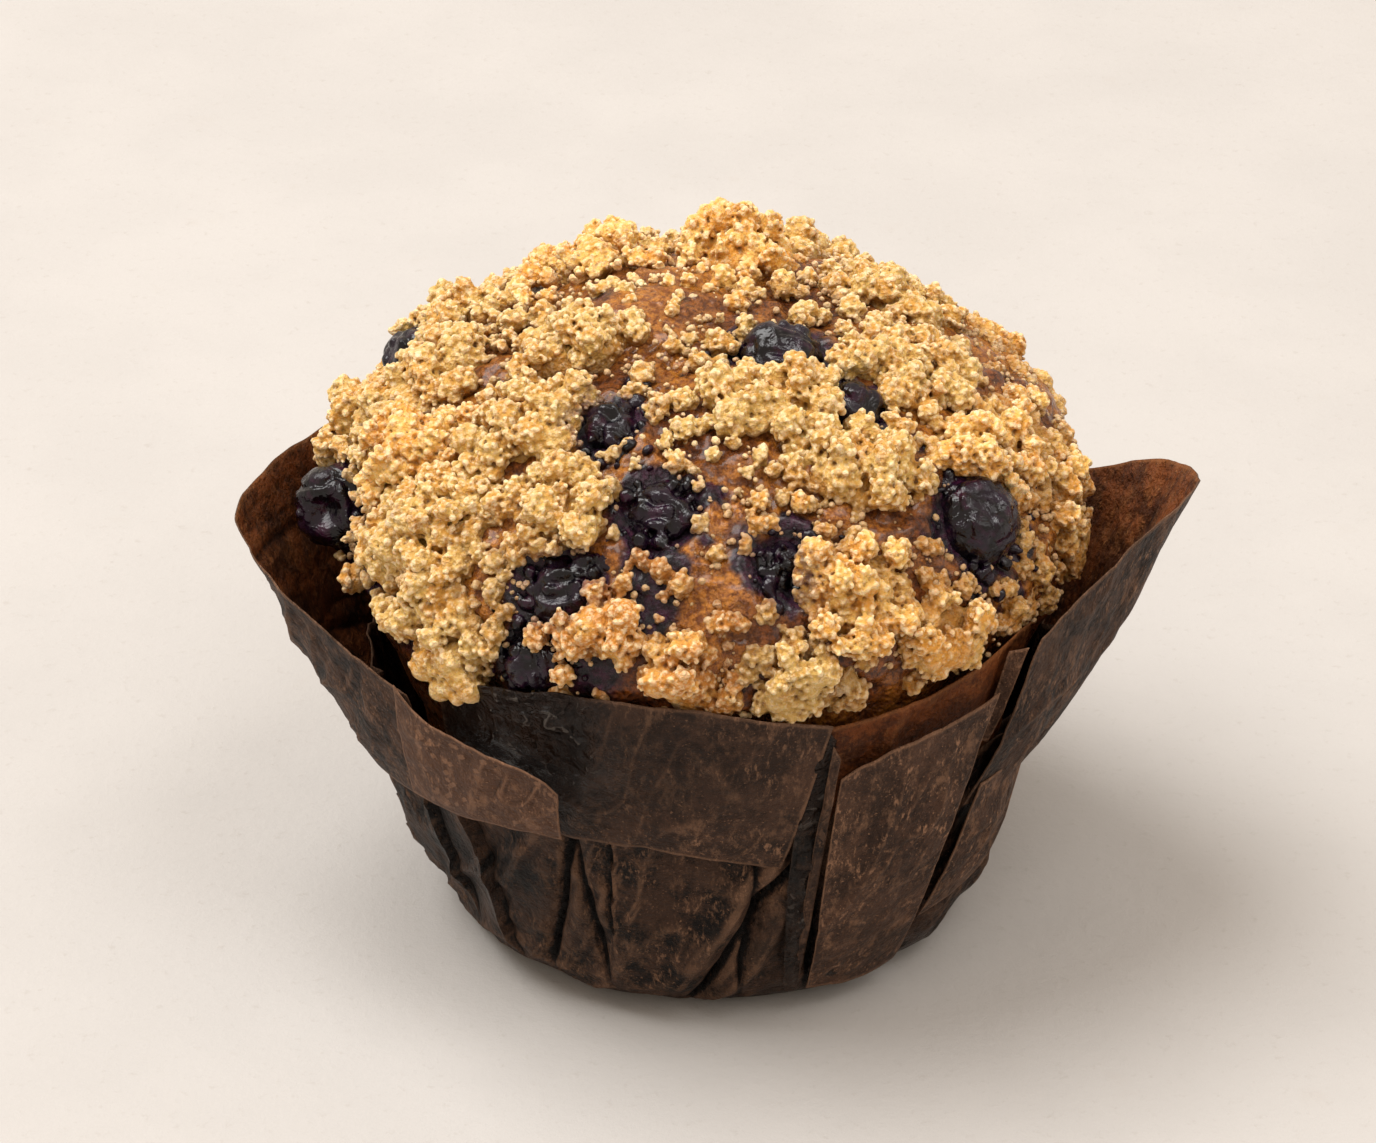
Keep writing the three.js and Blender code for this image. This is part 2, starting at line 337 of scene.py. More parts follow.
# azimuth, elevation, distance in metres, width in metres, power and colour of each soft round light
lights = {
    "keyLight": (170.0, 66.0, 1.6, 1.2, 29.5, (1.0, 0.995, 0.98)),
    "topLight": (-45, 66, 1.5, 0.6, 5.0, (1.0, 0.985, 0.965)),
    "fillLight": (-30, 42, 1.3, 0.8, 2.2, (1.0, 0.98, 0.96)),
}


def aimAt(thing, target):
    thing.rotation_euler = (target - thing.location).to_track_quat("-Z", "Y").to_euler()


def makeCamera():
    data = bpy.data.cameras.new("camera")
    camera = bpy.data.objects.new("camera", data)
    bpy.context.scene.collection.objects.link(camera)
    aim = Vector(studio["aim"]) * millimetre
    lean = math.radians(studio["elevation"])
    camera.location = aim + Vector((0, -math.cos(lean), math.sin(lean))) * studio["distance"] * millimetre
    aimAt(camera, aim)
    data.lens = studio["lens"]
    data.sensor_width = 36
    data.clip_start, data.clip_end = 0.01, 20
    bpy.context.scene.camera = camera


def makeAreaLight(name, azimuth, elevation, distance, size, power, colour):
    data = bpy.data.lights.new(name, "AREA")
    data.shape = "DISK"
    data.size, data.energy, data.color = size, power, colour
    light = bpy.data.objects.new(name, data)
    bpy.context.scene.collection.objects.link(light)
    light.location = Vector(directionAt(azimuth, 90 - elevation)) * distance
    aimAt(light, Vector((0, 0, 0.03)))


def makeStudio():
    for name, settings in lights.items():
        makeAreaLight(name, *settings)
    scene = bpy.context.scene
    scene.world = bpy.data.worlds.new("studioSky")
    scene.world.use_nodes = True
    sky = scene.world.node_tree.nodes["Background"]
    sky.inputs["Color"].default_value = (*studio["skyColour"], 1)
    sky.inputs["Strength"].default_value = studio["skyStrength"]
    scene.view_settings.view_transform = "Standard"

    finish = Finish("paleStoneFloor")
    grain = finish.noise(1.6, 5, 0.7)
    pale = studio["floorColour"]
    base = finish.blend(finish.ramp(finish.noise(42, 5, 0.6), 0.36, 0.66), tinted(pale, 0.955), pale)
    blots = finish.ramp(finish.noise(11, 3, 0.5), 0.66, 0.78, 0, 0.10)
    base = finish.blend(blots, base, [channel * share for channel, share in zip(pale, (0.80, 0.70, 0.60))])
    base = finish.blend(finish.ramp(grain, 0.56, 0.74, 0, 0.22), base,
                        [channel * share for channel, share in zip(pale, (0.62, 0.56, 0.50))])
    finish.surface(**{"Base Color": base, "Roughness": 0.9, "Specular IOR Level": 0.15})
    finish.bumped((grain, 0.35, 0.35))
    corners = np.array([[x * studio["floorReach"], y * studio["floorReach"], studio["floorHeight"]]
                        for x, y in [(-1, -1), (1, -1), (1, 1), (-1, 1)]])
    mesh = meshOf("floor", corners, [np.array([[0, 1, 2, 3]])])
    floor = bpy.data.objects.new("floor", mesh)
    bpy.context.scene.collection.objects.link(floor)
    mesh.materials.append(finish.material)


makeCamera()
makeStudio()
print("camera, light and floor are ready")


# the paper liner

cupPaper = {
    "profileRadius": [0, 22.8, 25.4, 27.8, 29.4, 30.6, 32.2, 33.4, 34.4, 35.6],
    "profileHeight": [0, 0, 0.5, 2.4, 5.2, 8.6, 14.5, 20.5, 26.0, 31.0],
    "columns": 640, "rows": 54, "thickness": 0.16,
    "wrinkle": 0.55, "fineWrinkle": 0.12, "panelWrinkle": 0.42, "panelFineWrinkle": 0.10, "ragged": 0.28,
    "footLength": 20.5,
}
# how each fold of the cup runs: [heights], [azimuths], depth, width in degrees, and its kind
cupFolds = [
    ([5, 15, 25], [-123, -117.5, -113.9], 1.7, 1.3, "groove"),
    ([6, 15, 24], [-109.8, -111.3, -113.2], 1.5, 1.1, "groove"),
    ([12, 26], [-107.6, -106.0], -0.75, 2.2, "lap"),
    ([5, 12, 22], [-132, -132.5, -137], 1.1, 5.0, "lap"),
    ([8, 20], [-144, -148.5], 1.0, 3.6, "lap"),
    ([12, 22], [-154, -158], -0.8, 2.8, "lap"),
    ([2, 4.6, 14.2, 18.9, 23.3], [-94, -90.7, -83.1, -80.1, -74.2], 2.3, 1.9, "groove"),
    ([4, 9.2, 15], [-83.5, -84, -82], 1.3, 1.0, "groove"),
    ([4, 19, 34], [-69.4, -71.4, -72.6], 2.0, 1.0, "groove"),
    ([4, 10.5, 19.5, 27, 34], [-47.5, -47.4, -48.5, -46.5, -45.2], 2.6, 2.4, "groove"),
    ([4, 20, 34], [-33, -31.5, -36], 1.0, 3.6, "lap"),
    ([2, 12, 26], [-19, -17, -20], 1.3, 1.2, "groove"),
    ([3, 26], [-4, -1], 0.9, 3.6, "lap"),
    ([3, 26], [17, 13], 1.5, 1.4, "groove"),
    ([3, 26], [36, 39], -1.0, 3.4, "lap"),
    ([3, 26], [52, 49], 1.6, 1.3, "groove"),
    ([4, 26], [73, 77], 0.9, 3.4, "lap"),
    ([3, 26], [94, 90], 1.5, 1.5, "groove"),
    ([3, 26], [112, 116], -1.0, 3.2, "lap"),
    ([3, 26], [134, 130], 1.6, 1.3, "groove"),
    ([3, 26], [153, 156], 0.9, 3.4, "lap"),
    ([3, 26], [174, 171], 1.4, 1.4, "groove"),
    ([3, 26], [-167, -164], -0.9, 3.0, "lap"),
]


def foldRelief(azimuth, height):
    # a groove is a sharp cusp sunk between two raised lips; a lap climbs to its edge and drops off it
    relief = np.zeros(np.broadcast(azimuth, height).shape)
    for heights, azimuths, depth, width, kind in cupFolds:
        line = np.interp(height, heights, azimuths)
        off = (azimuth - line + 180) % 360 - 180
        grown = easeBetween(height, heights[0] - 4, heights[0] + 5)
        if kind == "groove":
            lips = 0.20 * bell(off - width * 2.6, width * 1.6) + 0.14 * bell(off + width * 2.8, width * 1.7)
            relief += grown * depth * (lips - np.exp(-np.abs(off) / (width * 0.55)))
        else:
            off = off * np.sign(depth)
            climb = np.exp(np.minimum(off, 0) / width)
            drop = -0.75 * np.exp(-np.maximum(off, 0) / (width * 0.28))
            relief += grown * abs(depth) * np.where(off < 0, climb, drop)
    return relief


def paperWrinkles(azimuth, radius, height, amount, fineAmount, seed):
    # noise over the unrolled sheet, stretched up the wall, plus sharp creases where noise crosses nought
    sheet = np.stack([np.radians(azimuth) * radius, height * 0.45, np.zeros_like(radius)], -1)
    soft = latticeNoise(sheet, 5.5, seed)
    crease = 1 - np.abs(latticeNoise(sheet * [1, 1.6, 1] + 31, 7.5, seed + 1)) * 3.2
    small = 1 - np.abs(latticeNoise(sheet * [1, 1.3, 1] + 57, 3.2, seed + 3)) * 3.4
    fine = latticeNoise(sheet * [1, 2.4, 1], 1.9, seed + 2)
    relief = 0.8 * soft + 1.1 * np.clip(crease, 0, 1) + 0.5 * np.clip(small, 0, 1)
    return amount * relief + fineAmount * fine


def makeCup(finishes):
    # a revolved profile whose radius is pushed in and out by folds and wrinkles that grow from the foot up
    azimuth = np.linspace(-180, 180, cupPaper["columns"], endpoint=False)[None, :]
    lengths = np.concatenate([[0], np.cumsum(np.hypot(np.diff(cupPaper["profileRadius"]),
                                                      np.diff(cupPaper["profileHeight"])))])
    along = np.linspace(cupPaper["footLength"], lengths[-1], cupPaper["rows"])[:, None]
    radius = np.interp(along, lengths, cupPaper["profileRadius"]) + 0 * azimuth
    height = np.interp(along, lengths, cupPaper["profileHeight"]) + 0 * azimuth
    azimuth = azimuth + 0 * radius
    loose = easeBetween(radius, 22.5, 29)
    foot = 1 - easeBetween(height, 0.0, 1.2)
    push = foldRelief(azimuth, height) + paperWrinkles(azimuth, radius, height, cupPaper["wrinkle"],
                                                       cupPaper["fineWrinkle"], 3)
    radius = radius + loose * push
    lift = 0.18 * latticeNoise(polar(azimuth, radius, height), 5, 8)
    height = np.maximum(height + (1 - foot) * lift * loose, 0)
    rows, columns = cupPaper["rows"], cupPaper["columns"]
    points = np.concatenate([polar(azimuth, radius, height).reshape(-1, 3), [[0, 0, 0]]])
    column = np.arange(columns)
    bottom = np.stack([np.full(columns, rows * columns), (column + 1) % columns, column], -1)
    mesh = meshOf("paperCup", points, [gridQuads(rows, columns, True), bottom])
    soak = np.concatenate([(0.25 + 0.5 * easeBetween(latticeNoise(points[:-1], 14, 5), -0.2, 0.7)), [0.3]])
    setAttribute(mesh, "soak", soak)
    setAttribute(mesh, "pale", np.zeros(len(points)))
    thicken(addPiece("paperCup", mesh, finishes, "greaseproof_paper", "paper_liner"), cupPaper["thickness"])


def thicken(piece, thickness):
    solid = piece.modifiers.new("paperThickness", "SOLIDIFY")
    solid.thickness = thickness * millimetre
    solid.offset = -1
    solid.material_offset = 1
    solid.use_even_offset = False


# Each panel of the collar. Foot and rim are rows of [azimuth, radius, height] from its left to its right.
# Bulge pushes its middle out, flare curls its rim outwards, bow swings its left and right edges round half
# way up, and soak and pale say how the paper is stained; the full soak of the two pleats is painted shade
# in the narrow gaps. Grid is its columns and rows.
panels = {
    "leftPetal": {
        "foot": [[-222, 33.6, 20], [-200, 34.2, 20], [-184, 35.0, 20.4], [-172, 36.4, 22],
                 [-163, 37.4, 23.4],
                 [-155, 37.7, 23.6], [-148, 37.6, 24.2], [-136, 37.3, 25.4]],
        "rim": [[-222, 41.3, 45], [-210, 42.0, 45.8], [-198, 43.2, 46.6], [-186, 45.2, 47.8],
                [-176, 47.4, 49.0],
                [-169.5, 48.6, 48.9], [-164, 47.4, 47.0], [-155, 45.2, 44.9], [-147, 43.0, 42.6],
                [-136, 41.2, 40.6]],
        "bulge": 0.7, "flare": 0.5, "grid": (160, 70), "soak": 0.25, "pale": 0.10, "seed": 21},
    "petalTail": {
        "foot": [[-140.8, 38.6, 25.8], [-134, 38.4, 26.0], [-125.2, 38.1, 26.8], [-112.9, 37.6, 27.2]],
        "rim": [[-137.4, 42.3, 41.6], [-134.4, 42.0, 39.7], [-130.7, 41.7, 38.3], [-126, 41.4, 37.7],
                [-120.8, 41.1, 37.2], [-116.5, 40.8, 36.5], [-113.6, 40.5, 35.4], [-111.8, 40.0, 33.8]],
        "bulge": 0.3, "flare": 0.2, "grid": (130, 60), "soak": 0.0, "pale": 1.0, "seed": 33},
    "frontFlap": {
        "foot": [[-133, 35.9, 26.0], [-114.2, 35.9, 26.4], [-101.1, 35.9, 26.6], [-91.5, 35.4, 25.6],
                 [-78.2, 34.7, 22.9]],
        "rim": [[-133, 39.4, 41.8], [-122, 39.6, 44.4], [-111.4, 39.6, 45.7], [-99.8, 39.6, 46.0],
                [-91.4, 39.7, 45.5],
                [-82, 39.8, 44.4], [-72.6, 39.9, 42.5]],
        "bulge": 0.5, "flare": 0.1, "grid": (160, 72), "soak": 0.25, "pale": 0.30, "seed": 45},
    "frontRightPanel": {
        "foot": [[-69.6, 29.0, 3.2], [-64, 29.2, 3.0], [-56, 29.2, 3.0], [-48.6, 29.2, 3.4]],
        "rim": [[-70.7, 38.9, 35.7], [-67.6, 39.1, 37.0], [-64.1, 39.5, 38.2], [-58.5, 40.0, 38.9],
                [-53.4, 40.5, 39.5],
                [-49.5, 41.0, 40.4], [-46.7, 41.6, 41.5]],
        "bulge": 1.9, "flare": 0.2, "bow": (-1.3, -2.6), "grid": (120, 104), "soak": 0.05, "pale": 0.35,
        "seed": 57},
    "rightPetal": {
        "foot": [[-45.5, 36.6, 25.4], [-38, 36.6, 24.6], [-28, 35.2, 22.5], [-14, 34.6, 21],
                 [0, 34.6, 20.8],
                 [18, 34.2, 21], [36, 33.8, 21.5]],
        "rim": [[-40.4, 42.6, 46.4], [-37, 42.8, 47.4], [-31, 43.4, 48.8], [-24, 44.8, 50.2],
                [-17, 47.2, 51.6],
                [-10, 49.6, 52.0], [-4, 50.0, 51.2], [1, 49.2, 49.4], [7, 47.8, 47.4], [14, 46, 44.2],
                [22, 43.8, 40.4],
                [36, 41.4, 37]],
        "bulge": 1.1, "flare": 0.5, "grid": (160, 70), "soak": 0.2, "pale": 0.12, "seed": 69},
    "rightTuck": {
        "foot": [[-46.5, 31.4, 9.0], [-40, 32.4, 10.4], [-35, 33.0, 11.4], [-31.4, 33.6, 12.4]],
        "rim": [[-44.2, 38.3, 28.6], [-39, 38.2, 28.2], [-34, 37.8, 27.4], [-30.4, 37.4, 26.4]],
        "bulge": 0.5, "flare": 0.0, "grid": (60, 60), "soak": 0.1, "pale": 0.3, "seed": 75},
    "backPetal": {
        "foot": [[33, 34.0, 21], [60, 33.8, 21], [90, 33.8, 21.5], [115, 33.8, 21], [141, 33.8, 21]],
        "rim": [[33, 41, 37.6], [50, 41.4, 40], [72, 43, 43.4], [90, 44.4, 45], [108, 43.4, 45],
                [125, 42, 44.6],
                [141, 41.2, 44.6]],
        "bulge": 0.8, "flare": 0.4, "grid": (120, 50), "soak": 0.2, "pale": 0.1, "seed": 81},
    # painted shade: full soak makes this pleat black in the narrow gap beside the flap
    "cornerPleat": {
        "foot": [[-74.8, 29.4, 4.5], [-73.2, 29.6, 4.2], [-71.8, 29.2, 4.0]],
        "rim": [[-74.4, 39.3, 41.4], [-72.8, 39.5, 41.8], [-71.6, 39.1, 40.6]],
        "bulge": 1.1, "flare": 0, "bow": (-2.4, -0.9), "grid": (30, 110), "soak": 0.9, "pale": 0,
        "seed": 93},
    "cornerPly": {
        "foot": [[-73.4, 29.0, 4.5], [-71.6, 29.0, 4.2]],
        "rim": [[-72.4, 39.9, 40.2], [-71.2, 39.7, 38.4]],
        "bulge": 1.3, "flare": 0, "bow": (-1.0, -0.8), "grid": (14, 110), "soak": 0.4, "pale": 0.2,
        "seed": 95},
    # painted shade: full soak makes this pleat black in the narrow gap at the right panel's edge
    "rightPleat": {
        "foot": [[-49.5, 27.6, 4.5], [-45, 27.8, 4.2], [-40.0, 28.0, 4.0]],
        "rim": [[-50, 37.5, 41.0], [-44, 37.7, 42.4], [-37, 38.2, 43.4]],
        "bulge": 0.2, "flare": 0, "grid": (26, 90), "soak": 1.0, "pale": 0, "seed": 97},
    "rightCurl": {
        "foot": [[-44.6, 37.4, 33.5], [-43.0, 38.2, 33.0]],
        "rim": [[-42.6, 40.0, 44.4], [-41.0, 41.6, 44.9]],
        "bulge": 0.3, "flare": 0.2, "grid": (14, 40), "soak": 0.1, "pale": 0.6, "seed": 99},
    "innerPly": {
        "foot": [[-84, 34.2, 25], [-56, 34.9, 27], [-36, 34.8, 27]],
        "rim": [[-84, 38.9, 41.2], [-66, 39.0, 42.2], [-56, 39.1, 42.8], [-46, 39.2, 44.0],
                [-36, 39.6, 45.5]],
        "bulge": 0.3, "flare": 0.1, "grid": (90, 40), "soak": 0.45, "pale": 0.2, "seed": 105},
}


def edgeLine(rows, share):
    # azimuth, radius and height at each share of the way along an edge, smoothed by a short average
    rows = np.array(rows, float)
    steps = np.linspace(0, 1, len(rows))
    fine = np.linspace(0, 1, 400)
    line = np.stack([np.interp(fine, steps, rows[:, k]) for k in range(3)], -1)
    width = max(3, int(220 / len(rows)) | 1)
    padded = np.concatenate([2 * line[:1] - line[width:0:-1], line, 2 * line[-1:] - line[-2:-width - 2:-1]])
    kernel = np.hanning(width + 2)[1:-1]
    kernel /= kernel.sum()
    smooth = np.stack([np.convolve(padded[:, k], kernel, "same")[width:-width] for k in range(3)], -1)
    return [np.interp(share, fine, smooth[:, k]) for k in range(3)]


def makePanel(name, panel, finishes):
    # a ruled sheet from its foot line to its rim line, bowed by a sine, curled at the rim and wrinkled
    columns, rows = panel["grid"]
    across = np.linspace(0, 1, columns)[None, :]
    rise = np.linspace(0, 1, rows)[:, None]
    foot = [edge + 0 * rise for edge in edgeLine(panel["foot"], across)]
    rim = [edge + 0 * rise for edge in edgeLine(panel["rim"], across)]
    azimuth, radius, height = [low + (high - low) * rise for low, high in zip(foot, rim)]
    left, right = panel.get("bow", (0, 0))
    azimuth = azimuth + (left + (right - left) * across) * np.sin(np.pi * rise)
    calm = np.minimum(1, 0.35 + 3 * np.minimum(across, 1 - across))
    calm = calm * np.minimum(1, 0.4 + 3 * np.minimum(rise, 1 - rise))
    radius = radius + panel["bulge"] * np.sin(np.pi * rise ** 0.85) + panel["flare"] * rise ** 8
    radius = radius + calm * paperWrinkles(azimuth, radius, height, cupPaper["panelWrinkle"],
                                           cupPaper["panelFineWrinkle"], panel["seed"])
    ragged = latticeNoise(np.stack([azimuth * 0.6, 0 * azimuth, 0 * azimuth], -1), 2.6, panel["seed"] + 5)
    height = height + cupPaper["ragged"] * ragged * rise ** 6 - 0.22 * ragged * (1 - rise) ** 6
    points = polar(azimuth, radius, height).reshape(-1, 3)
    mesh = meshOf(name, points, [gridQuads(rows, columns)])
    setGridMap(mesh, rows, columns, False)
    soak = panel["soak"] + 0.25 * latticeNoise(points, 9, panel["seed"] + 6)
    if name == "frontFlap":  # juice from the burst berries has soaked its left part
        soak = soak + 2.0 * bell(azimuth.ravel() + 120, 11) * bell(height.ravel() - 41, 10)
    setAttribute(mesh, "soak", np.clip(soak, 0, 1))
    pale = panel["pale"] + 0.15 * latticeNoise(points, 7, panel["seed"] + 7)
    setAttribute(mesh, "pale", np.clip(pale, 0, 1))
    thicken(addPiece(name, mesh, finishes, "greaseproof_paper", "paper_liner"), cupPaper["thickness"])


def makePaperFinish(name, dark, brown, fleckAndRidgeHighlight):
    # brown paper: mottled, with fibre flecks and scuffs where dry, black and shiny where fat has soaked in,
    # with a painted highlight on its ridges, painted shade in its creases and painted glints on the soaked
    # parts
    finish = Finish(name)
    soak, pale, point = finish.attribute("soak"), finish.attribute("pale"), finish.pointiness()
    base = finish.blend(finish.ramp(finish.noise(5, 6, 0.76), 0.43, 0.58), dark, brown)
    base = finish.blend(finish.times(pale, 0.7), base, tinted(brown, 2.1))
    scuffs = finish.noise(2.0, 7, 0.78, finish.stretched((1, 1, 0.45), (0.4, 0.3, 0)))
    fibres = finish.noise(0.50, 5, 0.72, finish.stretched((1, 1, 0.35), (0.3, 0.5, 0)))
    specks = finish.ramp(finish.noise(0.30, 3, 0.6), 0.63, 0.70)
    worn = finish.times(finish.ramp(fibres, 0.52, 0.66), finish.ramp(finish.noise(3.6, 4, 0.6), 0.42, 0.60))
    worn = finish.math("MAXIMUM", worn, finish.times(specks, 0.9))
    worn = finish.math("MAXIMUM", worn, finish.ramp(scuffs, 0.50, 0.66, 0, 0.5))
    dry = finish.math("SUBTRACT", 1.0, finish.times(soak, 0.85))
    base = finish.blend(finish.times(finish.times(worn, dry), 0.88), base, fleckAndRidgeHighlight)
    # painted highlight: the pale fibre colour laid along the ridges where the paper is dry
    base = finish.blend(finish.times(finish.ramp(point, 0.503, 0.54, 0, 0.40), dry), base, fleckAndRidgeHighlight)
    base = finish.blend(finish.times(soak, 0.8), base, tinted(dark, 0.35))
    # painted shade: near black in the creases
    base = finish.blend(finish.ramp(point, 0.465, 0.496, 0.92, 0), base, tinted(dark, 0.2))
    wet = finish.noise(1.5, 3, 0.5, distortion=0.8)
    # painted glints: pale grey streaks in the base colour of the soaked paper
    glints = finish.times(finish.ramp(wet, 0.60, 0.68), finish.ramp(soak, 0.7, 1.0, 0, 0.5))
    base = finish.blend(glints, base, (0.15, 0.13, 0.115))
    rough = finish.ramp(soak, 0.35, 0.95, 0.58, 0.12)
    finish.surface(**{"Base Color": base, "Roughness": rough, "Specular IOR Level": 0.17})
    finish.bumped((finish.noise(3.0, 6, 0.66), 2.2, 1.0), (finish.noise(1.1, 4, 0.6), 0.35, 0.8),
                  (fibres, 0.10, 0.8), (wet, 1.5, finish.ramp(soak, 0.5, 0.95)))
    return finish.material


outerPaper = makePaperFinish("outerPaper", (0.0044, 0.0021, 0.0013), (0.056, 0.0270, 0.0158),
                             (0.36, 0.190, 0.108))
innerPaper = makePaperFinish("innerPaper", (0.036, 0.0085, 0.0016), (0.175, 0.045, 0.0080),
                             (0.40, 0.16, 0.050))
makeCup([outerPaper, outerPaper])
for panelName, panel in panels.items():
    sides = [innerPaper, innerPaper] if panelName == "innerPly" else [outerPaper, innerPaper]
    makePanel(panelName, panel, sides)
print("paper liner is folded")


# the cake

crust = {
    "columns": 400, "cupRows": 10, "neckRows": 14, "crownRows": 150,
    "lump": 0.75, "pebble": 0.55, "fine": 0.38,
    "gap": 3.4, "inset": 1.2, "neckHeight": 30.0, "neckRadius": [32.6, 34.2, 36.4, crown["radius"]],
}
# azimuth, tilt, reach in millimetres and strength of juice stains that have no berry standing in them
stains = [(-101, 58, 4.6, 1.0), (-77, 57, 5.0, 1.0), (-40, 60, 7.5, 0.9), (-156, 84, 4.5, 1.0),
          (-146, 93, 4.0, 0.9), (-73, 12, 4.0, 0.8), (-37, 8, 3.0, 0.6), (160, 18, 2.6, 0.6),
          (-110, 80, 5.2, 1.0), (-84, 52, 4.0, 0.6), (-100, 66, 4.0, 0.9)]


def stainAt(points):
    # the strongest of the bells round every berry and stain, its edge broken up by noise
    ragged = 1 + 0.45 * roughNoise(points, 2.6, 3, 301)
    total = np.zeros(len(points))
    for middle, radius in zip(berryMiddles, berryRadii):
        away = np.linalg.norm(points - middle, axis=1) * ragged
        total = np.maximum(total, 1.2 * bell(away, radius * 1.55))
    for azimuth, tilt, reach, strength in stains:
        away = np.linalg.norm(points - crownPlace(azimuth, tilt)[0], axis=1) * ragged
        total = np.maximum(total, strength * bell(away, reach))
    return np.clip(total, 0, 1)


def makeCake(finish):
    # the revolved outline of cup, neck and dome, its dome pushed along the normals by lumps and berry dents
    azimuth = np.linspace(-180, 180, crust["columns"], endpoint=False)[None, :]
    share, steps = np.linspace(0, 1, crust["cupRows"]), np.linspace(0, 1, len(cupPaper["profileRadius"]))
    cupR = np.interp(share, steps, cupPaper["profileRadius"]) - crust["gap"]
    cupZ = np.interp(share, steps, cupPaper["profileHeight"]) + crust["inset"]
    keep = (cupR > 1) & (cupZ < crust["neckHeight"] - 1)
    neckShare = np.linspace(0, 1, crust["neckRows"], endpoint=False)
    neckR = np.interp(neckShare, [0, 0.3, 0.6, 1], crust["neckRadius"])
    neckZ = crust["neckHeight"] + neckShare * (crown["height"] - crust["neckHeight"])
    sideR, sideZ = np.concatenate([cupR[keep], neckR]), np.concatenate([cupZ[keep], neckZ])
    side = polar(azimuth, sideR[:, None], sideZ[:, None])
    side[..., 0] += crown["shift"] * easeBetween(sideZ, 26, 45)[:, None]
    tilt = np.linspace(90, 0.4, crust["crownRows"])[:, None]
    dome, normal = crownPlace(azimuth, tilt + 0 * azimuth)
    points = np.concatenate([side, dome])
    outward = np.concatenate([polar(azimuth, np.ones((len(sideZ), 1)), 0), normal])
    rows, columns = points.shape[:2]
    points, outward = points.reshape(-1, 3), outward.reshape(-1, 3)
    risen = easeBetween(points[:, 2], 33, 43)
    relief = (crust["lump"] * latticeNoise(points, 8.5, 401)
              + crust["pebble"] * latticeNoise(points, 3.2, 402)
              + crust["fine"] * roughNoise(points, 1.4, 2, 403) - 0.25)
    for middle, radius in zip(berryMiddles, berryRadii):
        away = np.linalg.norm(points - middle, axis=1)
        relief += 0.55 * bell(away - radius * 1.45, 1.1) - 1.5 * bell(away, radius * 1.05)
    points = points + outward * (relief * risen)[:, None]
    top = points[-columns:].mean(0)
    points = np.concatenate([points, [[0, 0, crust["inset"]]], [top]])
    mesh = meshOf("muffinCrust", points, closedGrid(rows, columns))
    setGridMap(mesh, rows, columns, True)
    setAttribute(mesh, "stain", stainAt(points))
    lowDown = 1 - easeBetween(points[:, 2], 44, 54)
    patches = 0.5 * latticeNoise(points, 10, 411) + 0.25 * latticeNoise(points, 2.5, 412)
    toast = 0.42 + 0.35 * lowDown + patches
    setAttribute(mesh, "toast", np.clip(toast, 0, 1))
    addPiece("muffinCrust", mesh, [finish], "baked_crumb", "muffin_cake")


def makeCrustFinish():
    # baked crust: sandy gold to deep brown as it is toasted, purple black where juice ran, shiny in spots,
    # with painted shade in its hollows
    finish = Finish("bakedCrust")
    toast, stain = finish.attribute("toast"), finish.attribute("stain")
    flour = finish.noise(0.8, 5, 0.68)
    golden = finish.blend(finish.ramp(flour, 0.38, 0.62), (0.19, 0.050, 0.0045), (0.48, 0.180, 0.022))
    deep = finish.blend(finish.ramp(flour, 0.36, 0.66), (0.040, 0.008, 0.0012), (0.23, 0.060, 0.0065))
    base = finish.blend(finish.ramp(toast, 0.15, 0.8), golden, deep)
    # painted shade: dark brown in the hollows
    hollowShade = finish.ramp(finish.pointiness(), 0.44, 0.50, 0.8, 0)
    base = finish.blend(hollowShade, base, (0.055, 0.016, 0.005))
    juice = finish.blend(finish.ramp(finish.noise(1.1, 3), 0.4, 0.7), (0.0065, 0.0028, 0.0070),
                         (0.048, 0.0085, 0.030))
    base = finish.blend(finish.ramp(stain, 0.34, 0.62), base, juice)
    shine = finish.ramp(finish.noise(1.4, 4, 0.6), 0.40, 0.60, 0.52, 0.20)
    rough = finish.math("SUBTRACT", shine, finish.times(stain, 0.12))
    finish.surface(**{"Base Color": base, "Roughness": rough, "Specular IOR Level": 0.28,
                      "Coat Weight": 0.35, "Coat Roughness": 0.16, "Subsurface Weight": 0.08,
                      "Subsurface Radius": (1.0, 0.42, 0.16), "Subsurface Scale": 0.9 * millimetre})
    finish.bumped((finish.noise(1.3, 5, 0.7), 0.95, 1.0), (finish.cells(0.6), 0.30, 0.9),
                  (flour, 0.20, 0.9))
    return finish.material


makeCake(makeCrustFinish())
print("cake is baked")


# balls of dough, which crumb heaps and burst berries are built from

def ballGrid(rows, columns):
    # a unit ball as a grid of latitude rows and longitude columns with a pole at each end
    lean = np.pi * (1 - np.arange(1, rows + 1) / (rows + 1))[:, None]
    turn = (2 * np.pi * np.arange(columns) / columns)[None, :]
    rings = np.stack([np.sin(lean) * np.cos(turn), np.sin(lean) * np.sin(turn),
                      np.cos(lean) + 0 * turn], -1)
    points = np.concatenate([rings.reshape(-1, 3), [[0, 0, -1], [0, 0, 1]]])
    return points, closedGrid(rows, columns)


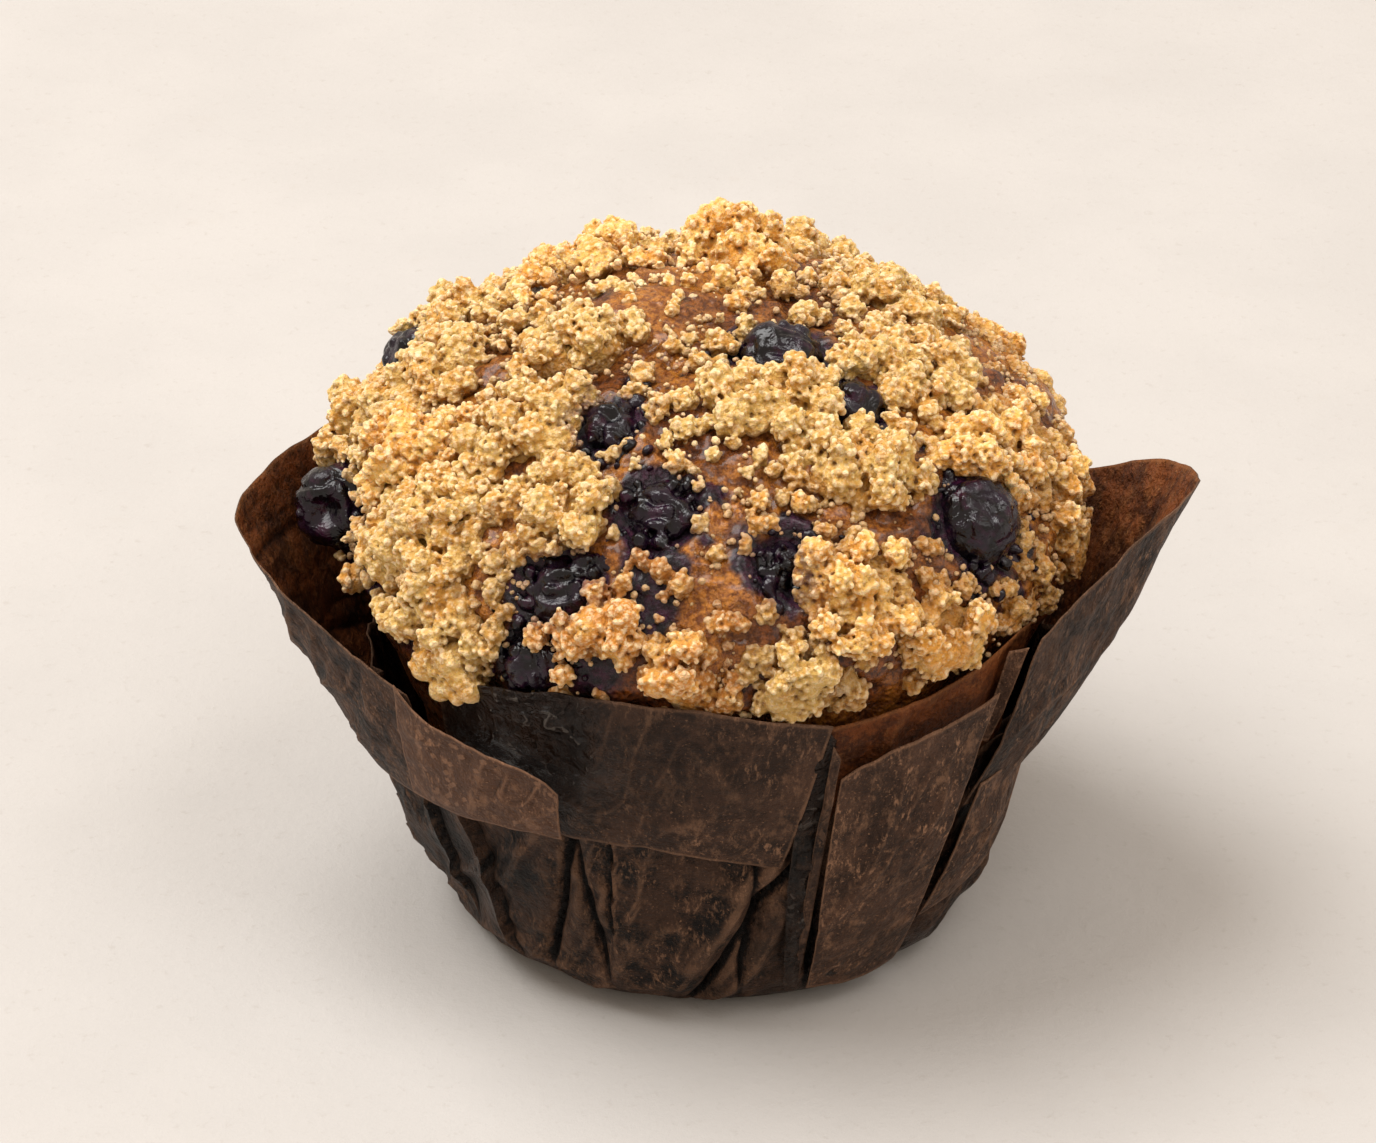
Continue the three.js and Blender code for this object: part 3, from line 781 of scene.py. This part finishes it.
def scatteredBalls(middles, radii, random, rows, columns, squash, dent):
    # each ball is the same unit grid, stretched and turned at random, sized, moved to its middle and dented
    unit, (quads, triangles) = ballGrid(rows, columns)
    count = len(middles)
    axes = np.linalg.qr(random.normal(size=(count, 3, 3)))[0]
    axes *= np.sign(np.linalg.det(axes))[:, None, None]
    stretch = 1 + random.uniform(-squash, squash, (count, 1, 3))
    points = (unit[None] * stretch) @ axes * np.asarray(radii)[:, None, None] + np.asarray(middles)[:, None]
    flat = points.reshape(-1, 3)
    push = dent * np.repeat(radii, len(unit)) * latticeNoise(flat, 0.7, 77)
    flat = flat + push[:, None] * unitLength(flat - np.repeat(middles, len(unit), axis=0))
    offset = (np.arange(count) * len(unit))[:, None, None]
    return flat, (quads[None] + offset).reshape(-1, 4), (triangles[None] + offset).reshape(-1, 3)


def joined(parts):
    # several sets of points with their quads and triangles, as one
    points, quads, triangles, start = [], [], [], 0
    for some, fours, threes in parts:
        points.append(some)
        quads.append(fours + start)
        triangles.append(threes + start)
        start += len(some)
    return np.concatenate(points), [np.concatenate(quads), np.concatenate(triangles)]


def fuse(piece, voxel, kept):
    # melts touching balls into one skin, then keeps that share of its triangles
    melt = piece.modifiers.new("melt", "REMESH")
    melt.mode = "VOXEL"
    melt.voxel_size = voxel * millimetre
    melt.use_smooth_shade = True
    thin = piece.modifiers.new("thin", "DECIMATE")
    thin.ratio = kept


def nodeTriangles(name):
    # the corners of a frame node's triangles, in millimetres
    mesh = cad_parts[name].data
    places = np.empty(len(mesh.vertices) * 3)
    mesh.vertices.foreach_get("co", places)
    mesh.calc_loop_triangles()
    corners = np.empty(len(mesh.loop_triangles) * 3, np.int32)
    mesh.loop_triangles.foreach_get("vertices", corners)
    return places.reshape(-1, 3)[corners].reshape(-1, 3, 3) / millimetre


def spotsOnSkin(triangles, spacing, random):
    # random spots on the triangles that face away from the cake's heart, about one for each spacing squared
    leastFacing, tiny = 0.12, 1e-12
    normals = np.cross(triangles[:, 1] - triangles[:, 0], triangles[:, 2] - triangles[:, 0])
    area = np.linalg.norm(normals, axis=1) / 2
    middles = triangles.mean(1)
    outward = outwardAt(middles)
    faces = (unitLength(normals + tiny) * outward).sum(1) > leastFacing
    triangles, area, normals = triangles[faces], area[faces], unitLength(normals[faces] + tiny)
    count = max(4, int(area.sum() / spacing**2))
    chosen = random.choice(len(area), count, p=area / area.sum())
    a, b = random.random((2, count, 1))
    over = a + b > 1
    a, b = np.where(over, 1 - a, a), np.where(over, 1 - b, b)
    first, second, third = np.moveaxis(triangles[chosen], 1, 0)
    return first + a * (second - first) + b * (third - first), normals[chosen]


# streusel

streusel = {
    "voxel": 0.15, "kept": 0.38,
    "lobeSpacing": 1.9, "lobeRadius": (0.55, 1.65), "lobeSink": (-2.2, 0.80),
    "grainsPerLobe": 34, "grainRadius": (0.20, 0.42), "grainStandOff": (-0.1, 0.75),
    "clusters": 2100, "clusterRadius": (0.4, 1.35), "lean": 0.9,
    "burstBerries": [0, 4, 5, 6, 8, 9], "juiceReach": 7.0,
    "rimHeight": 43.2, "rimReach": 40.4, "flapAzimuth": -102,
}
# how toasted each heap is, by its number, where it isn't the usual 0
toasted = {3: 1, 7: 2, 8: 2, 10: 1, 12: 1, 13: 1, 14: 1, 15: 1, 17: 1, 19: 1, 24: 1}
# azimuth, tilt, height and reach in millimetres of the patches where the crumb lies thicker, or thinner
thickPatches = [(140, 42, 1.3, 14), (168, 62, 0.8, 9), (15, 62, -0.8, 13), (-25, 20, 0.5, 8)]
# azimuth, tilt, reach in degrees and how far the crust is bare there, from 0 to 1
bareSpots = [(-95, 33, 8, 0.9), (-85, 62, 12, 0.8), (-144, 29, 8, 0.6), (143, 13, 9, 0.7),
             (-56, 56, 6, 0.6), (-154, 90, 10, 1.0), (-101, 83, 8, 0.95), (-62, 90, 7, 0.7),
             (-78, 47, 6, 0.6)]


def makeCrumbFinish(name, pale, gold, brown, goldShare):
    # butter crumb: pale on its tips as a painted highlight, golden in patches, brown in its hollows and
    # where it lies low on the crown as painted shade, purple beside the berries
    finish = Finish(name)
    patches = finish.noise(3.4, 4, 0.6)
    grains = finish.noise(0.55, 4, 0.7)
    base = finish.blend(finish.ramp(patches, 0.60 - goldShare, 0.80 - goldShare), pale, gold)
    base = finish.blend(finish.ramp(finish.noise(1.4, 4, 0.65), 0.54, 0.70, 0, 0.7), base, brown)
    base = finish.blend(finish.ramp(grains, 0.48, 0.66, 0, 0.50), base, (0.92, 0.76, 0.48))
    point = finish.pointiness()
    # painted shade: dark brown in the hollows
    base = finish.blend(finish.ramp(point, 0.40, 0.498, 0.97, 0), base, tinted(brown, 0.36))
    # painted highlight: pale cream on the tips
    base = finish.blend(finish.ramp(point, 0.50, 0.59, 0, 0.65), base, (0.95, 0.79, 0.52))
    # painted shade: crumb lying low on the crown is darkened towards brown
    low = finish.ramp(finish.heightOverCrown(), 0.2, 2.4, 0.60, 0)
    base = finish.blend(low, base, tinted(brown, 0.62))
    juice = finish.times(finish.nearness(berryMiddles[streusel["burstBerries"]], streusel["juiceReach"]),
                         finish.ramp(finish.noise(1.3, 3), 0.40, 0.60))
    base = finish.blend(finish.times(juice, 0.8), base, (0.085, 0.032, 0.065))
    rough = finish.ramp(grains, 0.42, 0.62, 0.62, 0.28)
    finish.surface(**{"Base Color": base, "Roughness": rough, "Specular IOR Level": 0.32,
                      "Subsurface Weight": 0.18, "Subsurface Radius": (1.0, 0.45, 0.12),
                      "Subsurface Scale": 0.6 * millimetre})
    finish.bumped((finish.noise(0.8, 5, 0.7), 0.34, 0.8), (finish.cells(0.36), 0.20, 0.9),
                  (grains, 0.12, 0.9))
    return finish.material


crumbFinishes = [
    makeCrumbFinish("paleCrumb", (0.60, 0.370, 0.096), (0.56, 0.265, 0.036), (0.29, 0.102, 0.013), 0.18),
    makeCrumbFinish("goldenCrumb", (0.77, 0.455, 0.110), (0.66, 0.290, 0.036), (0.34, 0.115, 0.013), 0.20),
    makeCrumbFinish("toastedCrumb", (0.70, 0.355, 0.068), (0.54, 0.205, 0.022), (0.28, 0.082, 0.008), 0.24),
]


def clearOfBerries(spots, room):
    # true where a spot is further than its room from every berry's skin
    away = np.linalg.norm(spots[:, None] - berryMiddles[None], axis=2) - berryRadii[None]
    return away.min(1) > room


def collarReach(spots):
    # how far out from the axis crumb may stand: less behind the front flap, more above the rim
    front = bell(np.degrees(np.arctan2(spots[:, 1], spots[:, 0])) - streusel["flapAzimuth"], 20)
    behindFlap = 1.9 * front * (1 - easeBetween(spots[:, 2], 46, 48.5))
    return streusel["rimReach"] - behindFlap + 0.6 * easeBetween(spots[:, 2], 44, 50)


def insideCollar(spots):
    # true where a spot would not poke through the collar's rim
    return (spots[:, 2] > streusel["rimHeight"]) & (np.hypot(spots[:, 0], spots[:, 1]) < collarReach(spots))


def bareness(azimuth, tilt):
    # the strongest of the bells round the bare spots
    here = directionAt(azimuth, tilt)
    bare = np.zeros(len(here))
    for middle, lean, reach, amount in bareSpots:
        bare = np.maximum(bare, amount * bell(degreesFrom(here, middle, lean), reach))
    return bare


def spotsOnCrown(count, random):
    # azimuth and tilt of spots spread evenly by angle over the dome, down to just past its widest
    azimuth = random.uniform(-180, 180, count)
    return azimuth, np.degrees(np.arccos(random.uniform(-0.05, 1, count)))


def grainsRound(middles, radii, random):
    # grains stuck all over the outer half of every lobe, bigger grains on bigger lobes
    count = np.maximum(4, streusel["grainsPerLobe"] * (radii / 1.2) ** 2).astype(int)
    lobe = np.repeat(np.arange(len(middles)), count)
    outward = outwardAt(middles, 30)[lobe]
    ways = unitLength(random.normal(size=(len(lobe), 3)) + 0.75 * outward)
    sizes = random.uniform(*streusel["grainRadius"], len(lobe)) * np.clip(0.66 + 0.3 * radii[lobe], 0, 1.15)
    reach = radii[lobe] + sizes * random.uniform(*streusel["grainStandOff"], len(lobe))
    return middles[lobe] + ways * reach[:, None], sizes


def liftedAt(spots):
    # how much higher the crumb lies: the sum of bells in the distance from each thicker patch
    total = np.zeros(len(spots))
    for azimuth, tilt, height, reach in thickPatches:
        total += height * bell(np.linalg.norm(spots - crownPlace(azimuth, tilt)[0], axis=1), reach)
    return total


def strewnClusters():
    # small clusters all over the dome, fewest where the crust is bare, each given to its nearest heap
    random = np.random.default_rng(1400)
    azimuth, tilt = spotsOnCrown(streusel["clusters"], random)
    low, high = streusel["clusterRadius"]
    radii = low + (high - low) * random.random(len(tilt)) ** 1.7
    keep = random.random(len(tilt)) > bareness(azimuth, tilt)
    azimuth, tilt, radii = azimuth[keep], tilt[keep], radii[keep]
    spots = crownPlace(azimuth, tilt, radii * random.uniform(-0.35, 0.5, len(tilt)))[0]
    keep = clearOfBerries(spots, 0.4) & insideCollar(spots)
    return spots[keep], radii[keep]


heapTriangles = [nodeTriangles(name) for name in heapNodes]
heapMiddles = np.array([triangles.reshape(-1, 3).mean(0) for triangles in heapTriangles])
clusterSpots, clusterRadii = strewnClusters()
clusterOwner = np.linalg.norm(clusterSpots[:, None] - heapMiddles[None], axis=2).argmin(1)


def makeHeap(index, name):
    # lobes at uneven heights on the frame's block, small clusters round it, and grains stuck all over both
    random = np.random.default_rng(900 + index)
    triangles = heapTriangles[index]
    lobes, normals = spotsOnSkin(triangles, streusel["lobeSpacing"], random)
    radii = random.uniform(*streusel["lobeRadius"], len(lobes))
    sink = random.uniform(*streusel["lobeSink"], len(lobes)) - radii * 0.75
    lobes = lobes + normals * sink[:, None]
    mine = clusterOwner == index
    lobes, radii = np.concatenate([lobes, clusterSpots[mine]]), np.concatenate([radii, clusterRadii[mine]])
    lobes = lobes + unitLength(lobes) * liftedAt(lobes)[:, None]
    reach = np.hypot(lobes[:, 0], lobes[:, 1])
    over = np.clip(reach + radii * 0.8 - collarReach(lobes), 0, 5)
    lobes[:, :2] *= (1 - over / reach)[:, None]
    grains, sizes = grainsRound(lobes, radii, random)
    keep = clearOfBerries(grains, -0.3) & insideCollar(grains)
    grains, sizes = grains[keep], sizes[keep]

    outward = outwardAt(heapMiddles[index])
    filler = (triangles.reshape(-1, 3) - heapMiddles[index]) * 0.8 + heapMiddles[index] - outward * 1.5
    block = (filler, np.zeros((0, 4), int), np.arange(len(filler)).reshape(-1, 3))
    points, faces = joined([
        block,
        scatteredBalls(lobes, radii, random, 7, 12, 0.12, 0.05),
        scatteredBalls(grains, sizes, random, 3, 7, 0.26, 0.2),
    ])
    points[:, 0] -= streusel["lean"] * (np.hypot(points[:, 0], points[:, 1]) / 38) ** 2
    mesh = meshOf(name, points, faces)
    finish = crumbFinishes[toasted.get(int(name[-2:]), 0)]
    piece = addPiece("crumbHeap" + name[-2:], mesh, [finish], "streusel", name)
    fuse(piece, streusel["voxel"], streusel["kept"])


def droppedOnCrown(spots, lift):
    # each spot moved along its ray from the dome's middle to stand lift above the dome
    lowest = -1.5
    ray = spots - crownMiddle
    ray[:, 2] = np.maximum(ray[:, 2], lowest)
    place = ray / np.linalg.norm(ray / crownSize, axis=1, keepdims=True)
    normal = unitLength(place / crownSize**2)
    azimuth = np.degrees(np.arctan2(place[:, 1], place[:, 0]))
    tilt = np.degrees(np.arccos(np.clip(place[:, 2] / crown["rise"], -1, 1)))
    return crownMiddle + place + normal * (lift + swellingAt(azimuth, tilt))[:, None]


for index, name in enumerate(heapNodes):
    makeHeap(index, name)
print("streusel heaps are set on the crown")


# loose crumbs between the heaps

looseCrumbs = {"tries": 9000, "most": 2500, "size": (0.16, 0.42)}


def makeLooseCrumbs():
    # small lumpy balls over the dome, gathered in drifts by noise and thinned where the crust is bare
    random = np.random.default_rng(1500)
    azimuth, tilt = spotsOnCrown(looseCrumbs["tries"], random)
    drift = 0.5 + 0.9 * latticeNoise(crownPlace(azimuth, tilt)[0], 4.5, 1501)
    keep = random.random(len(tilt)) < np.clip(drift, 0.10, 1) * (1 - 0.45 * bareness(azimuth, tilt))
    azimuth, tilt = azimuth[keep], tilt[keep]
    low, high = looseCrumbs["size"]
    sizes = low + (high - low) * random.random(len(tilt)) ** 1.6
    spots = crownPlace(azimuth, tilt, sizes * random.uniform(0.0, 0.7, len(tilt)))[0]
    keep = clearOfBerries(spots, -0.1) & insideCollar(spots)
    spots, sizes = spots[keep][:looseCrumbs["most"]], sizes[keep][:looseCrumbs["most"]]
    points, quads, triangles = scatteredBalls(spots, sizes, random, 3, 7, 0.28, 0.3)
    mesh = meshOf("looseCrumbs", points, [quads, triangles])
    addPiece("looseCrumbs", mesh, [crumbFinishes[1]], "streusel")
    print(len(spots), "loose crumbs are strewn")


makeLooseCrumbs()


# blueberries

burstBerry = {"rows": 46, "columns": 64, "beadRadius": (0.28, 0.85), "beadLift": (-0.60, 0.12),
              "voxel": 0.17, "kept": 0.6}
# by number: which way each berry's crown faces, how deep its dimple is, how wrinkled it is, how many beads
# of burst pulp lie round it, how far they spread in radii, and how many millimetres the berry has sunk
berries = {
    1: ((-0.25, -0.85, 0.35), 0.45, 0.14, 60, 0.75, 0.5),
    2: ((-0.7, -0.4, 0.5), 0.25, 0.14, 40, 0.7, 1.3),
    3: ((0.1, -0.5, 0.8), 0.20, 0.16, 50, 0.8, 0.5),
    4: ((0.5, -0.6, 0.5), 0.15, 0.16, 12, 0.7, 0.4),
    5: ((0.25, -0.55, 0.75), 0.14, 0.08, 55, 0.75, 0.6),
    6: ((-0.1, -0.6, 0.6), 0.30, 0.26, 60, 0.6, 1.0),
    7: ((-0.2, -0.7, 0.6), 0.25, 0.28, 95, 0.8, 0.9),
    8: ((-0.2, -0.8, 0.4), 0.20, 0.26, 70, 0.75, 0.3),
    9: ((0.0, -0.4, 0.9), 0.30, 0.20, 40, 0.8, 1.2),
    10: ((0.1, -0.6, 0.6), 0.20, 0.26, 34, 0.8, 1.7),
    11: ((0.0, 0.6, 0.7), 0.18, 0.12, 30, 0.8, 2.4),
    12: ((0.5, 0.6, 0.5), 0.20, 0.12, 60, 0.8, 0.4),
    13: ((-0.5, 0.7, 0.3), 0.24, 0.16, 60, 0.8, 0.4),
}


def makeBerryFinish():
    # baked blueberry: a thin shiny skin, blue black to wine red, with dull bloom left in patches
    finish = Finish("bakedBlueberry")
    base = finish.blend(finish.ramp(finish.noise(2.4, 4, 0.6), 0.42, 0.62), (0.0016, 0.0010, 0.0024),
                        (0.0085, 0.0030, 0.0100))
    wine = finish.times(finish.ramp(finish.noise(1.6, 3), 0.52, 0.70), 0.5)
    base = finish.blend(wine, base, (0.042, 0.0065, 0.026))
    bloom = finish.times(finish.ramp(finish.noise(1.9, 5, 0.7), 0.62, 0.76), 0.12)
    base = finish.blend(bloom, base, (0.060, 0.055, 0.080))
    rough = finish.ramp(finish.noise(1.2, 4, 0.6), 0.42, 0.66, 0.07, 0.30)
    finish.surface(**{"Base Color": base, "Roughness": rough, "Specular IOR Level": 0.32,
                      "Coat Weight": 0.08, "Coat Roughness": 0.05})
    finish.bumped((finish.noise(1.5, 3, 0.5, distortion=0.9), 0.55, 0.75),
                  (finish.noise(0.5, 2), 0.06, 0.4))
    return finish.material


def makeBerry(name, middle, radius, finish):
    # a ball about its own crown axis: its radius less a dimple, plus a five-toothed ring, less ridged folds
    number = int(name[-2:])
    faces, dimple, wrinkle, pulp, spread, sink = berries[number]
    random = np.random.default_rng(number + 2000)
    unit, (quads, triangles) = ballGrid(burstBerry["rows"], burstBerry["columns"])
    axis = Vector(faces).normalized()
    turn = np.array(Vector((0, 0, 1)).rotation_difference(axis).to_matrix())
    lean = np.degrees(np.arccos(np.clip(unit[:, 2], -1, 1)))
    longitude = np.arctan2(unit[:, 1], unit[:, 0])
    teeth = bell(lean - 30, 9) * (0.6 + 0.4 * np.cos(5 * longitude + random.uniform(0, 6)))
    folds = 1 - np.abs(latticeNoise(unit * radius, 1.9, number + 50)) * 2
    reach = 1 - dimple * bell(lean, 26) + 0.07 * teeth - wrinkle * np.clip(folds, 0, 1) ** 2
    reach = reach + 0.06 * latticeNoise(unit * radius, 2.6, number + 70)
    outward = outwardAt(middle)
    middle = middle - outward * sink
    points = (unit * (reach * radius)[:, None]) @ turn.T + middle
    away = random.normal(size=(pulp, 3)) * radius * spread
    away -= (away @ outward)[:, None] * outward * 0.85
    beads = droppedOnCrown(middle + away, random.uniform(*burstBerry["beadLift"], pulp))
    beads = beads[insideCollar(beads) | (beads[:, 2] > 41)]
    sizes = random.uniform(*burstBerry["beadRadius"], len(beads))
    beadBalls = scatteredBalls(beads, sizes, random, 5, 8, 0.40, 0.3)
    points, faceSets = joined([(points, quads, triangles), beadBalls])
    mesh = meshOf(name, points, faceSets)
    piece = addPiece("berry" + name[-2:], mesh, [finish], "blueberry", name)
    fuse(piece, burstBerry["voxel"], burstBerry["kept"])


berryFinish = makeBerryFinish()
for name, middle, radius in zip(berryNodes, berryMiddles, berryRadii):
    makeBerry(name, middle, radius, berryFinish)
print("blueberries are tucked in")
